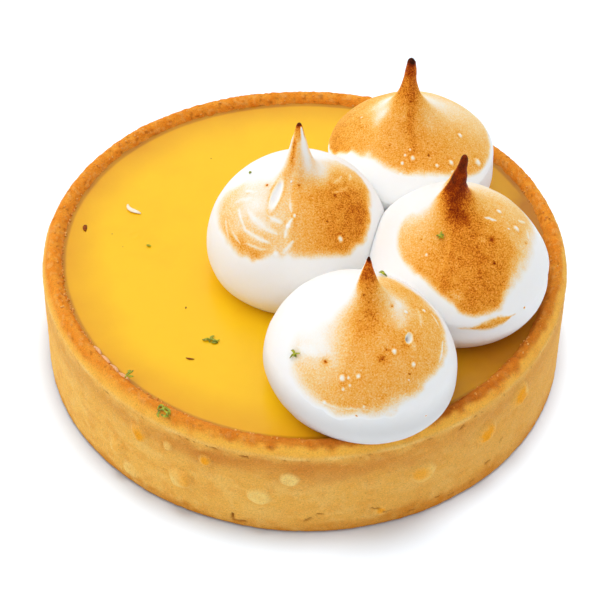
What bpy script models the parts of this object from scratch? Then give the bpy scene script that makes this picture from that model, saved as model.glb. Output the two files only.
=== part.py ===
"""Individual lemon meringue pie: a shortcrust case, lemon curd and four piped meringue kisses.

Metres, +Z up. The origin is the middle of the underside, where the case stands on the table.
The case is one turned cup whose top is a little out of round. The curd fills it, and the
kisses stand on the curd, pressed against each other and, at the front, over the rim.
"""

import math

import bmesh
import bpy
import numpy as np

MM = 0.001
GAP = 0.3 * MM  # clearance that keeps touching pieces apart

# pastry case
CASE_RADIUS = 42.5 * MM
CASE_EDGE_HEIGHT = 17.4 * MM  # where the trimmed outer wall turns into the sloping rim
FOOT_CHAMFER = 0.7 * MM
FLOOR_THICKNESS = 3.5 * MM
INNER_RADIUS = 39.2 * MM
INNER_CORNER = 2.0 * MM
# the rim's cross-section, as the control points of one cubic curve (radius, height)
RIM_CURVE = np.array([(42.5, 17.4), (42.1, 20.1), (39.9, 20.5), (39.2, 17.8)]) * MM
RIM_ROWS = 8
# how far the rim is out of round: waves round the case, amplitude, phase
RIM_SWAY = ((2, 0.30 * MM, math.radians(46)), (3, 0.45 * MM, math.radians(98)))

# lemon curd
CURD_HEIGHT = 18.1 * MM  # level of the surface above the table
CURD_EDGE_ROUND = 0.5 * MM
CURD_EDGE_ROWS = 3

# meringue kisses
BELLY_DROP = 9.0 * MM  # half height of the ellipsoid below the belly
PEAK_SLOPE = 3.2  # how much a peak rises for each metre it narrows
PEAK_FLARE = 3.0 * MM  # size of the hollow where a peak grows out of its dome
PRESS_SOFTNESS = 0.5 * MM  # roundness of the edge where two kisses press together
REST_SOFTNESS = 0.08 * MM
RIM_BRIDGE = 1.2 * MM  # how far inside the rim a kiss that lies over it starts to lift

# Each kiss: its centre in plan, the radius and height of its belly, the heights of its dome and
# of its tip above its base, how far the tip leans in x and y, how much it is stretched along a
# direction, and the power of its dome's curve (2 is an ellipse, less is more conical).
KISSES = {
    "kiss_back": dict(
        centre=(17.1 * MM, 17.3 * MM), belly=14.1 * MM, belly_height=4.6 * MM,
        dome_height=16.2 * MM, tip_height=26.6 * MM, lean=(-0.9 * MM, 0.2 * MM),
        stretch=1.01, turn=math.radians(15), power=1.95,
    ),
    "kiss_left": dict(
        centre=(-1.3 * MM, -1.7 * MM), belly=14.4 * MM, belly_height=4.5 * MM,
        dome_height=18.3 * MM, tip_height=27.6 * MM, lean=(-0.1 * MM, 1.3 * MM),
        stretch=1.02, turn=math.radians(50), power=2.05,
    ),
    "kiss_right": dict(
        centre=(23.7 * MM, -7.7 * MM), belly=14.7 * MM, belly_height=4.6 * MM,
        dome_height=18.7 * MM, tip_height=27.3 * MM, lean=(-0.3 * MM, 0.9 * MM),
        stretch=1.0, turn=0.0, power=1.8,
    ),
    "kiss_front": dict(
        centre=(8.4 * MM, -28.1 * MM), belly=14.35 * MM, belly_height=4.6 * MM,
        dome_height=17.8 * MM, tip_height=26.0 * MM, lean=(0.5 * MM, 0.3 * MM),
        stretch=1.05, turn=math.radians(138), power=1.95,
    ),
}

PASTRY_COLOUR = (0.62, 0.33, 0.1)
CURD_COLOUR = (0.95, 0.55, 0.05)
MERINGUE_COLOUR = (0.9, 0.87, 0.82)

# fineness of the meshes
SHARP_ANGLE = math.radians(40)
AROUND_CASE = 96
AROUND_KISS = 40
DOME_ROWS = 13
SKIRT_ROWS = 4
SOLE_ROWS = 7
DOME_CROWDING = 1.35  # rings crowd towards the tip, where the slope is steepest
SOLE_CROWDING = 1.6  # and towards the sole's edge, where it may lie over the rim


def sway(angle, height):
    """How far the case leans out at an angle: a few waves that grow from the foot to the rim."""
    out = sum(size * np.cos(waves * angle - phase) for waves, size, phase in RIM_SWAY)
    return out * height / CASE_EDGE_HEIGHT


def rim_section():
    """Points along the rim's cross-section, from its outer edge to its inner one."""
    t = np.linspace(0, 1, RIM_ROWS + 1)[:, None]
    a, b, c, d = RIM_CURVE
    return (1 - t) ** 3 * a + 3 * (1 - t) ** 2 * t * b + 3 * (1 - t) * t**2 * c + t**3 * d


def rest_height(x, y):
    """Height of what lies under a point in plan: the curd, or the rim, whose inner corner is bridged."""
    section = rim_section()[::-1]
    radius = np.hypot(x, y) - sway(np.arctan2(y, x), CASE_EDGE_HEIGHT)
    rim = np.interp(radius, section[:, 0], section[:, 1])
    bridge = np.interp(radius + RIM_BRIDGE, section[:, 0], section[:, 1])
    return np.maximum(CURD_HEIGHT, np.maximum(rim, bridge))


def soft_limit(value, limit, softness):
    """value, held below limit, with the corner rounded over the length softness."""
    return limit - softness * np.logaddexp(0, (limit - value) / softness)


def closed_grid(name, rows, first_pole, last_pole):
    """A closed object from rings of points, capped by a fan of triangles at either end."""
    count, around = rows.shape[:2]
    verts = np.vstack([rows.reshape(-1, 3), [first_pole], [last_pole]])
    first, last = count * around, count * around + 1
    i = np.arange(around)
    j = (i + 1) % around
    faces = [(first, b, a) for a, b in zip(i, j)]
    for row in range(count - 1):
        near, far = row * around, (row + 1) * around
        faces += [(near + a, near + b, far + b, far + a) for a, b in zip(i, j)]
    end = (count - 1) * around
    faces += [(end + a, end + b, last) for a, b in zip(i, j)]
    mesh = bpy.data.meshes.new(name)
    mesh.from_pydata(verts.tolist(), [], [tuple(int(v) for v in face) for face in faces])
    solid = bmesh.new()
    solid.from_mesh(mesh)
    bmesh.ops.recalc_face_normals(solid, faces=solid.faces)
    solid.to_mesh(mesh)
    solid.free()
    mesh.shade_smooth()
    mesh.set_sharp_from_angle(angle=SHARP_ANGLE)
    obj = bpy.data.objects.new(name, mesh)
    bpy.context.collection.objects.link(obj)
    return obj


def turned(name, profile):
    """A closed turned piece, from a profile of (radius, height) that starts and ends on the axis."""
    angle = np.linspace(0, 2 * np.pi, AROUND_CASE, endpoint=False)
    inner = np.array(profile[1:-1])
    radius = inner[:, :1] + sway(angle[None, :], inner[:, 1:])
    height = np.broadcast_to(inner[:, 1:], radius.shape)
    rows = np.stack([radius * np.cos(angle), radius * np.sin(angle), height], axis=-1)
    return closed_grid(name, rows, (0, 0, profile[0][1]), (0, 0, profile[-1][1]))


def finish(obj, colour, roughness):
    """Gives the object its own plain material."""
    material = bpy.data.materials.new(obj.name)
    material.use_nodes = True
    shader = material.node_tree.nodes["Principled BSDF"]
    shader.inputs["Base Color"].default_value = (*colour, 1)
    shader.inputs["Roughness"].default_value = roughness
    shader.inputs["Metallic"].default_value = 0
    obj.data.materials.append(material)


def make_crust():
    """The cup: flat underside, upright wall, rounded rim, inner wall and floor."""
    profile = [(0, 0), (CASE_RADIUS - FOOT_CHAMFER, 0), (CASE_RADIUS, FOOT_CHAMFER)]
    profile += [tuple(point) for point in rim_section()]
    profile += [
        (INNER_RADIUS, FLOOR_THICKNESS + INNER_CORNER),
        (INNER_RADIUS - INNER_CORNER, FLOOR_THICKNESS),
        (0, FLOOR_THICKNESS),
    ]
    finish(turned("crust", profile), PASTRY_COLOUR, roughness=0.8)


def make_curd():
    """The filling: a disc that fills the cup up to its level, with a rounded upper edge."""
    edge = INNER_RADIUS - GAP
    base = FLOOR_THICKNESS + GAP
    profile = [
        (0, base),
        (edge - INNER_CORNER, base),
        (edge, base + INNER_CORNER),
    ]
    for turn in np.linspace(0, 0.5 * np.pi, CURD_EDGE_ROWS):
        inset = CURD_EDGE_ROUND * (1 - math.cos(turn))
        drop = CURD_EDGE_ROUND * (1 - math.sin(turn))
        profile.append((edge - inset, CURD_HEIGHT - drop))
    profile.append((0, CURD_HEIGHT))
    finish(turned("curd", profile), CURD_COLOUR, roughness=0.3)


def kiss_section(kiss):
    """Radius and height above the base of each ring of a kiss, from the tip to the sole.

    Above the belly the height is the larger of an elliptical dome and a straight cone, blended
    over the flare. Below it the skirt is an ellipse, and the sole is flat.
    """
    belly, waist = kiss["belly"], kiss["belly_height"]
    rise = kiss["dome_height"] - waist
    angle = 0.5 * np.pi * (np.arange(1, DOME_ROWS + 1) / DOME_ROWS) ** DOME_CROWDING
    radius = belly * np.sin(angle)
    dome = waist + rise * (1 - np.sin(angle) ** kiss["power"]) ** (1 / kiss["power"])
    cone = kiss["tip_height"] - PEAK_SLOPE * radius
    flare = PEAK_FLARE * np.clip(radius / PEAK_FLARE, 0, 1)
    height = 0.5 * (dome + cone + np.sqrt((dome - cone) ** 2 + flare**2))
    height[-1] = waist
    down = waist * np.arange(1, SKIRT_ROWS + 1) / SKIRT_ROWS
    skirt = belly * np.sqrt(1 - (down / BELLY_DROP) ** 2)
    sole = skirt[-1] * (1 - (np.arange(1, SOLE_ROWS) / SOLE_ROWS) ** SOLE_CROWDING)
    return (
        np.concatenate([radius, skirt, sole]),
        np.concatenate([height, waist - down, np.zeros(SOLE_ROWS - 1)]),
    )


def press_apart(name, x, y):
    """Holds a kiss on its own side of the upright plane between it and each neighbour."""
    own = KISSES[name]
    for other_name, other in KISSES.items():
        if other_name == name:
            continue
        step = np.array(other["centre"]) - np.array(own["centre"])
        distance = np.hypot(*step)
        if distance > own["belly"] + other["belly"] + GAP:
            continue
        step /= distance
        limit = (distance**2 + own["belly"] ** 2 - other["belly"] ** 2) / (2 * distance)
        along = (x - own["centre"][0]) * step[0] + (y - own["centre"][1]) * step[1]
        back = along - soft_limit(along, limit - GAP / 2, PRESS_SOFTNESS)
        x, y = x - back * step[0], y - back * step[1]
    return x, y


def make_kiss(name):
    """One piped kiss, leaning a little, pressed against its neighbours and resting on the pie."""
    kiss = KISSES[name]
    centre, lean = kiss["centre"], kiss["lean"]
    radius, height = kiss_section(kiss)
    angle = np.linspace(0, 2 * np.pi, AROUND_KISS, endpoint=False)
    along = radius[:, None] * kiss["stretch"] * np.cos(angle)
    across = radius[:, None] / kiss["stretch"] * np.sin(angle)
    c, s = math.cos(kiss["turn"]), math.sin(kiss["turn"])
    above_belly = (height - kiss["belly_height"]) / (kiss["tip_height"] - kiss["belly_height"])
    lift = np.maximum(above_belly, 0)
    x = centre[0] + c * along - s * across + lean[0] * lift[:, None]
    y = centre[1] + s * along + c * across + lean[1] * lift[:, None]
    x, y = press_apart(name, x, y)
    floor = rest_height(x, y) + GAP
    base = CURD_HEIGHT + GAP
    z = -soft_limit(-(base + height[:, None]), -floor, REST_SOFTNESS)
    tip = (centre[0] + lean[0], centre[1] + lean[1], base + kiss["tip_height"])
    sole = (*centre, base)
    solid = closed_grid(name, np.stack([x, y, z], axis=-1), tip, sole)
    finish(solid, MERINGUE_COLOUR, roughness=0.5)


for old in list(bpy.data.objects):
    bpy.data.objects.remove(old)
make_crust()
make_curd()
for kiss_name in KISSES:
    make_kiss(kiss_name)
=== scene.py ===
"""Individual lemon meringue pie: the finished look of its pastry case, curd, kisses and zest.

Metres, +Z up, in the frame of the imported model: the pie stands on z = 0 about the Z axis.
Azimuths are in degrees, 0 along +X and growing towards +Y.
"""

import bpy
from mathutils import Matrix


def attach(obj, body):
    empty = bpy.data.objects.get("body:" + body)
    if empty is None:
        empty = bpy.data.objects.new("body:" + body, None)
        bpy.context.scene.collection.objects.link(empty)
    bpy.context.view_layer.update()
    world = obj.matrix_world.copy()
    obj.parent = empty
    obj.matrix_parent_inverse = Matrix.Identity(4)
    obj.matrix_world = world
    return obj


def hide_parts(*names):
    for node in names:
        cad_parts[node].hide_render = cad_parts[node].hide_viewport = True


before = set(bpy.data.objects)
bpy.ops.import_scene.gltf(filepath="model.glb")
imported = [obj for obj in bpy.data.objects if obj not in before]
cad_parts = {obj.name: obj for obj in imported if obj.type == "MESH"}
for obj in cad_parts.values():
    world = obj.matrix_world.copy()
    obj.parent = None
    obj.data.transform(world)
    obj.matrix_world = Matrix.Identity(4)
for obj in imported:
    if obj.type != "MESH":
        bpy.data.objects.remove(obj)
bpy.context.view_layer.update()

import math
from types import SimpleNamespace

import bpy
import numpy as np
from mathutils import Matrix, Vector

# ---------------------------------------------------------------------------------------------
# Pastry case: sweet shortcrust pressed into a perforated ring and baked blind. The wall is sandy
# and pale where the ring held it, with small bumps where dough pushed into the ring's holes. The
# trimmed rim stood free in the oven, so it is rounded, crumbly and browner.

MM = 0.001
CASE_RADIUS = 42.5 * MM
CASE_EDGE_HEIGHT = 17.4 * MM
FOOT_ROUND = 0.7 * MM
FOOT_SPREAD = 0.22 * MM  # how much the wall slumped outward at its foot in the oven
FLOOR_THICKNESS = 3.5 * MM
INNER_RADIUS = 39.2 * MM
INNER_CORNER = 2.0 * MM
RIM_HEIGHT = CASE_EDGE_HEIGHT + 0.9 * MM  # from here up the surface is the rim's
BAND_HEIGHT = 15.4 * MM  # of the brown band under the rim's edge
RIDGE_HEIGHT = CASE_EDGE_HEIGHT + 0.2 * MM  # of the pale ridge where the rim was trimmed
# the rim's cross-section, as the control points of one cubic curve (radius, height)
RIM_CURVE = np.array([(42.5, 17.4), (42.1, 20.1), (39.9, 20.5), (39.2, 17.8)]) * MM
# how far the rim is out of round: waves round the case, amplitude, phase
RIM_SWAY = ((2, 0.15 * MM, math.radians(46)), (3, 0.45 * MM, math.radians(98)))
AROUND_CASE = 900
RIM_ROWS = 30
WALL_ROWS = 56

# dough that pushed into the ring's holes: azimuth, height, radius, how far it stands out in mm, how
# brown a patch on it is, which is partly browning and partly painted shade, and how far that patch lies
# to the right, in radii
HOLE_BUMPS = (
    (-131.8, 6.8, 1.5, 0.75, 0.6, 0.3), (-115.3, 7.6, 2.1, 0.975, 0.7, 0.5),
    (-98.3, 8.4, 1.9, 0.60, 0.1, 0.4), (-92.5, 13.0, 1.6, 0.30, 0.0, 0.0),
    (-64.5, 10.2, 2.3, 0.63, 0.8, -0.30), (-48.4, 11.8, 2.1, 0.63, 1.1, -0.1),
    (-37.6, 13.9, 2.4, 0.63, 1.1, -0.2), (-125.1, 13.3, 1.8, 0.675, 1.0, 0.1),
    (-117.9, 14.0, 0.9, 0.45, 0.3, 0.2), (-109.5, 14.0, 1.2, 0.525, 1.0, 0.1),
    (-128.5, 3.2, 1.6, 0.15, 0.3, 0.3), (-73.5, 3.6, 1.1, 0.18, 0.9, 0.0),
)
HIDDEN_BUMPS = 12  # further bumps round the back, about evenly spaced
HIDDEN_BUMP_SPAN = (2.0, 178.0)  # azimuths of the first and last of them
# short cracks in the wall: azimuth, height and length in mm, slope in degrees, width and depth in mm
CRACKS = (
    (-88.5, 3.4, 1.8, 38, 0.16, 0.40), (-86.0, 4.5, 1.6, 12, 0.14, 0.30),
    (-104.0, 2.3, 1.6, 75, 0.22, 0.40), (-102.6, 1.5, 2.6, 5, 0.25, 0.25),
    (-74.6, 4.4, 1.9, 3, 0.12, 0.22), (-72.0, 3.3, 1.8, -6, 0.14, 0.22),
    (-107.0, 16.9, 3.4, 1, 0.10, 0.30), (-101.5, 16.8, 1.8, -2, 0.09, 0.25),
    (-55.7, 16.4, 1.5, 20, 0.2, 0.28), (-43.0, 6.8, 1.3, 40, 0.13, 0.25),
    (-47.0, 4.0, 1.4, 8, 0.14, 0.22), (-66.5, 1.7, 1.6, 14, 0.15, 0.25),
    (-60.5, 2.6, 1.2, -8, 0.13, 0.22), (-57.0, 1.6, 1.5, 10, 0.16, 0.25),
    (-51.5, 2.0, 1.3, 18, 0.14, 0.25), (20.0, 4.0, 2.2, 10, 0.14, 0.3),
    (75.0, 5.5, 1.8, -14, 0.14, 0.3), (118.0, 2.6, 2.4, 20, 0.16, 0.3), (160.0, 16.8, 3.0, 0, 0.1, 0.3),
)

WALL_TINT = (0.93, 0.490, 0.086)
WALL_PALE = (0.98, 0.63, 0.170)
WALL_BROWN = (0.83, 0.34, 0.045)
# painted shade for the wall at the front right
WALL_SHADE = (0.74, 0.34, 0.058)
BAND_TINT = (0.64, 0.205, 0.020)
FOOT_TINT = (0.68, 0.235, 0.014)
RIM_OUTER_TINT = (1.0, 0.520, 0.070)
RIM_INNER_TINT = (0.83, 0.255, 0.014)
# browner rim at the front, partly painted shade under the front kiss
RIM_FRONT_BROWN_AND_SHADE = (0.46, 0.100, 0.004)
EDGE_TINT = (0.97, 0.60, 0.17)
BUMP_TINT = (1.0, 0.70, 0.21)
# a brown patch to one side of a bump: partly browning, partly painted shade
BUMP_BROWN_AND_SHADE = (0.94, 0.37, 0.010)
# painted shade for cracks, pinholes and pits, and the painted contact shadow along the foot
CREVICE_SHADE = (0.32, 0.080, 0.004)


def lattice_noise(points, size, seed):
    """Smooth random values from -1 to 1, in bumps about size across.

    Space is cut into cubes of that size and a hash gives each corner a value; a point takes the
    eight corners of its cube, each weighted by the smooth step of how near the point is to it.
    """
    place = points / size
    corner = np.floor(place).astype(np.int64)
    part = place - corner
    part = part * part * (3 - 2 * part)
    total = np.zeros(points.shape[:-1])
    for step in np.ndindex(2, 2, 2):
        i, j, k = np.moveaxis(corner + step, -1, 0)
        mixed = (i * 73856093 ^ j * 19349663 ^ k * 83492791 ^ seed * 2654435761) & 0xFFFFFFFF
        mixed = ((mixed ^ (mixed >> 15)) * 1274126177) & 0xFFFFFFFF
        mixed = mixed ^ (mixed >> 13)
        value = (mixed & 0xFFFF) / 32767.5 - 1
        total += value * np.prod(np.where(step, part, 1 - part), axis=-1)
    return total


def noises(**kinds):
    """Several lattice noises by name, each from its points, the size of its bumps in mm and a seed."""
    return SimpleNamespace(**{
        name: lattice_noise(points, size * MM, seed) for name, (points, size, seed) in kinds.items()
    })


def soft_step(value, start, end):
    """0 before start, 1 after end, and the smooth cubic step between them."""
    share = np.clip((value - start) / (end - start), 0, 1)
    return share * share * (3 - 2 * share)


def bell(value, middle, width):
    """1 where value is at the middle, falling off on both sides as exp of minus a square."""
    return np.exp(-(((value - middle) / width) ** 2))


def turn_from(azimuth, middle):
    """How far an azimuth lies from the middle one, from -180 to 180 degrees."""
    return (azimuth - middle + 180) % 360 - 180


def facing(azimuth, middle, width):
    """1 where a side faces an azimuth, falling off round the piece as a bell of a width in degrees."""
    return bell(turn_from(azimuth, middle), 0, width)


def polar(radius, angle, height):
    """Points from radii and angles in plan, and heights, whose arrays are spread to one grid."""
    x, y = radius * np.cos(angle), radius * np.sin(angle)
    return np.stack(np.broadcast_arrays(x, y, height), axis=-1)


def sway(angle, height):
    """How far the case leans out at an angle: a few waves that grow from the foot to the rim."""
    out = sum(size * np.cos(waves * angle - phase) for waves, size, phase in RIM_SWAY)
    return out * height / CASE_EDGE_HEIGHT


def rim_section(rows):
    """Points along the rim's cross-section, from its outer edge to its inner one: a cubic curve."""
    t = np.linspace(0, 1, rows + 1)[:, None]
    a, b, c, d = RIM_CURVE
    return (1 - t) ** 3 * a + 3 * (1 - t) ** 2 * t * b + 3 * (1 - t) * t**2 * c + t**3 * d


def ring_normals(rings):
    """Outward unit normals of a grid of rings: the cross product of the steps along and around."""
    down = np.gradient(rings, axis=0)
    on = np.roll(rings, -1, axis=1) - np.roll(rings, 1, axis=1)
    normal = np.cross(down, on)
    return normal / np.maximum(np.linalg.norm(normal, axis=-1, keepdims=True), 1e-12)


def surface(name, points, faces):
    """A smooth-shaded object from an array of points and an array of faces with equal corners."""
    mesh = bpy.data.meshes.new(name)
    mesh.vertices.add(len(points))
    mesh.vertices.foreach_set("co", points.astype(np.float32).ravel())
    mesh.loops.add(faces.size)
    mesh.loops.foreach_set("vertex_index", faces.astype(np.int32).ravel())
    mesh.polygons.add(len(faces))
    mesh.polygons.foreach_set("loop_start", np.arange(0, faces.size, faces.shape[1], dtype=np.int32))
    mesh.update(calc_edges=True)
    mesh.shade_smooth()
    obj = bpy.data.objects.new(name, mesh)
    bpy.context.collection.objects.link(obj)
    return obj


def ring_mesh(rings, first_pole, last_pole):
    """Points and triangles of a closed surface through rings, with a fan to a pole at either end."""
    count, around = rings.shape[:2]
    i = np.arange(around)
    j = (i + 1) % around
    first, last = count * around, count * around + 1
    row = np.arange(count - 1)[:, None] * around
    one = np.stack([row + i, row + around + i, row + around + j], axis=-1).reshape(-1, 3)
    two = np.stack([row + i, row + around + j, row + j], axis=-1).reshape(-1, 3)
    top = np.stack([np.full(around, first), i, j], axis=-1)
    end = (count - 1) * around
    bottom = np.stack([end + i, np.full(around, last), end + j], axis=-1)
    points = np.vstack([rings.reshape(-1, 3), [first_pole], [last_pole]])
    return points, np.vstack([one, two, top, bottom])


def keep_value(obj, name, values, at_poles=(0, 0)):
    """Stores a number for each point, and one for each pole, as the attribute name."""
    data = np.concatenate([np.ravel(values), at_poles]).astype(np.float32)
    obj.data.attributes.new(name, "FLOAT", "POINT").data.foreach_set("value", data)


def keep_colour(obj, name, colours):
    """Stores a colour for each point as the attribute name."""
    data = np.concatenate([colours, np.ones((len(colours), 1))], axis=1).astype(np.float32)
    obj.data.attributes.new(name, "FLOAT_COLOR", "POINT").data.foreach_set("color", data.ravel())


def lay_on(colours, tint, share):
    """Paints tint over colours, by share from 0 to 1."""
    share = np.clip(share, 0, 1)[..., None]
    return colours * (1 - share) + np.array(tint) * share


def case_profile():
    """The case's half section, from the middle of its floor over the rim to its underside."""
    floor = [(r * INNER_RADIUS, FLOOR_THICKNESS) for r in (0.3, 0.6, 0.85)]
    corner = [
        (INNER_RADIUS - INNER_CORNER, FLOOR_THICKNESS),
        (INNER_RADIUS, FLOOR_THICKNESS + INNER_CORNER),
    ]
    inner = [(INNER_RADIUS, share * RIM_CURVE[3, 1]) for share in (0.6, 0.9, 0.97)]
    rim = rim_section(RIM_ROWS)[::-1].tolist()
    heights = np.linspace(CASE_EDGE_HEIGHT, FOOT_ROUND, WALL_ROWS)[1:]
    wall = [(CASE_RADIUS + FOOT_SPREAD * (1 - height / CASE_EDGE_HEIGHT), height) for height in heights]
    turn = np.linspace(0, 0.5 * np.pi, 4)[1:]
    foot = [(wall[-1][0] - FOOT_ROUND * (1 - math.cos(t)), FOOT_ROUND * (1 - math.sin(t))) for t in turn]
    under = [(r * CASE_RADIUS, 0.0) for r in (0.96, 0.85, 0.6, 0.3)]
    return np.array(floor + corner + inner + rim + wall + foot + under)


def foot_share(azimuth, level):
    """How brown the foot is: a little way up all round, and further up at the front right."""
    all_round = 0.85 * (1 - soft_step(level, 0.6 * MM, 2.3 * MM))
    front_right = facing(azimuth, -62, 34) * (1 - soft_step(level, 1.2 * MM, 4.2 * MM))
    return np.maximum(all_round, front_right)


def wall_colours(azimuth, height, level, foot, noise):
    """The wall's colours: pale and brown grains, a brown foot, a brown band under the edge, painted shade
    at the front right and a painted contact shadow along the bottom.
    """
    tint = np.broadcast_to(WALL_TINT, (*height.shape, 3))
    tint = lay_on(tint, WALL_PALE, 0.40 * soft_step(noise.patches, -0.1, 0.7))
    tint = lay_on(tint, WALL_BROWN, 0.42 * soft_step(noise.mottle, 0.0, 0.7))
    tint = lay_on(tint, WALL_PALE, 0.35 * soft_step(noise.grains, 0.25, 0.6))
    # painted shade: the wall darker at the front right, away from the key lamp
    tint = lay_on(tint, WALL_SHADE, 0.5 * facing(azimuth, -45, 50))
    # the foot is brown; along the very bottom, where it turns under onto the table, a painted contact
    # shadow
    tint = lay_on(tint, FOOT_TINT, foot * (0.8 + 0.4 * noise.middle))
    tint = lay_on(tint, CREVICE_SHADE, 0.9 * (1 - soft_step(height, 0.05 * MM, 0.55 * MM)))
    # fat drew out of the dough in the band, most at the front
    band = bell(level, BAND_HEIGHT, np.where(level < BAND_HEIGHT, 2.6 * MM, 1.4 * MM))
    band *= (0.30 + 0.65 * facing(azimuth, -100, 32)) * (0.9 + 0.3 * noise.patches)
    return lay_on(tint, BAND_TINT, band)


def rim_colours(azimuth, inset, inward, pits, noise):
    """The rim's colours: bright outside, red-brown and sandy inwards, brownest at the front, partly
    painted shade under the front kiss.

    Its outer band is a little browner at the left and the front right.
    """
    tint = np.broadcast_to(RIM_OUTER_TINT, (*inward.shape, 3))
    tint = lay_on(tint, RIM_INNER_TINT, 0.22 * soft_step(noise.mottle + 0.4 * noise.fine, 0.0, 0.7))
    tint = lay_on(tint, RIM_INNER_TINT, inward * (0.85 + 0.25 * noise.middle + 0.15 * noise.fine))
    left = bell(inset, 0.8 * MM, 0.5 * MM) * facing(azimuth, -170, 50)
    tint = lay_on(tint, RIM_INNER_TINT, np.maximum(0.85 * left, 0.15 * facing(azimuth, -45, 50)))
    pale_grains = soft_step(noise.fine + 0.4 * noise.grains, 0.25, 0.7)
    tint = lay_on(tint, EDGE_TINT, (0.08 + 0.22 * inward) * pale_grains)
    # browner inwards at the front: partly the crust's browning, partly painted shade under the front kiss
    slope = soft_step(inset / MM + 0.35 * noise.mottle + 0.15 * noise.fine, 0.4, 1.3)
    browned = facing(azimuth, -66, 50) * (0.72 + 0.18 * noise.patches + 0.15 * noise.middle)
    tint = lay_on(tint, RIM_FRONT_BROWN_AND_SHADE, slope * browned)
    # painted shade in the pits of the crumbly inner rim
    return lay_on(tint, CREVICE_SHADE, 0.45 * pits * inward)


def all_bumps():
    """The hole bumps in front, then those round the back, which rise and fall as a cosine."""
    bumps = list(HOLE_BUMPS)
    random = np.random.default_rng(5)
    spans = ((-1.5, 1.5), (-0.5, 0.5), (1.2, 1.9), (0.45, 0.75), (0.1, 0.9), (-0.3, 0.4))
    for place in np.linspace(*HIDDEN_BUMP_SPAN, HIDDEN_BUMPS):
        low = 9.0 + 3.1 * math.cos(math.radians(place))
        aside, higher, *rest = [random.uniform(*span) for span in spans]
        bumps.append((place + aside, low + higher, *rest))
    return bumps


def from_wall_place(azimuth, height, place, level):
    """How far points of the wall lie along it and up from an azimuth and a level in mm, in mm."""
    along = np.radians(turn_from(azimuth, place)) * CASE_RADIUS / MM
    return along, height / MM - level


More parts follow.
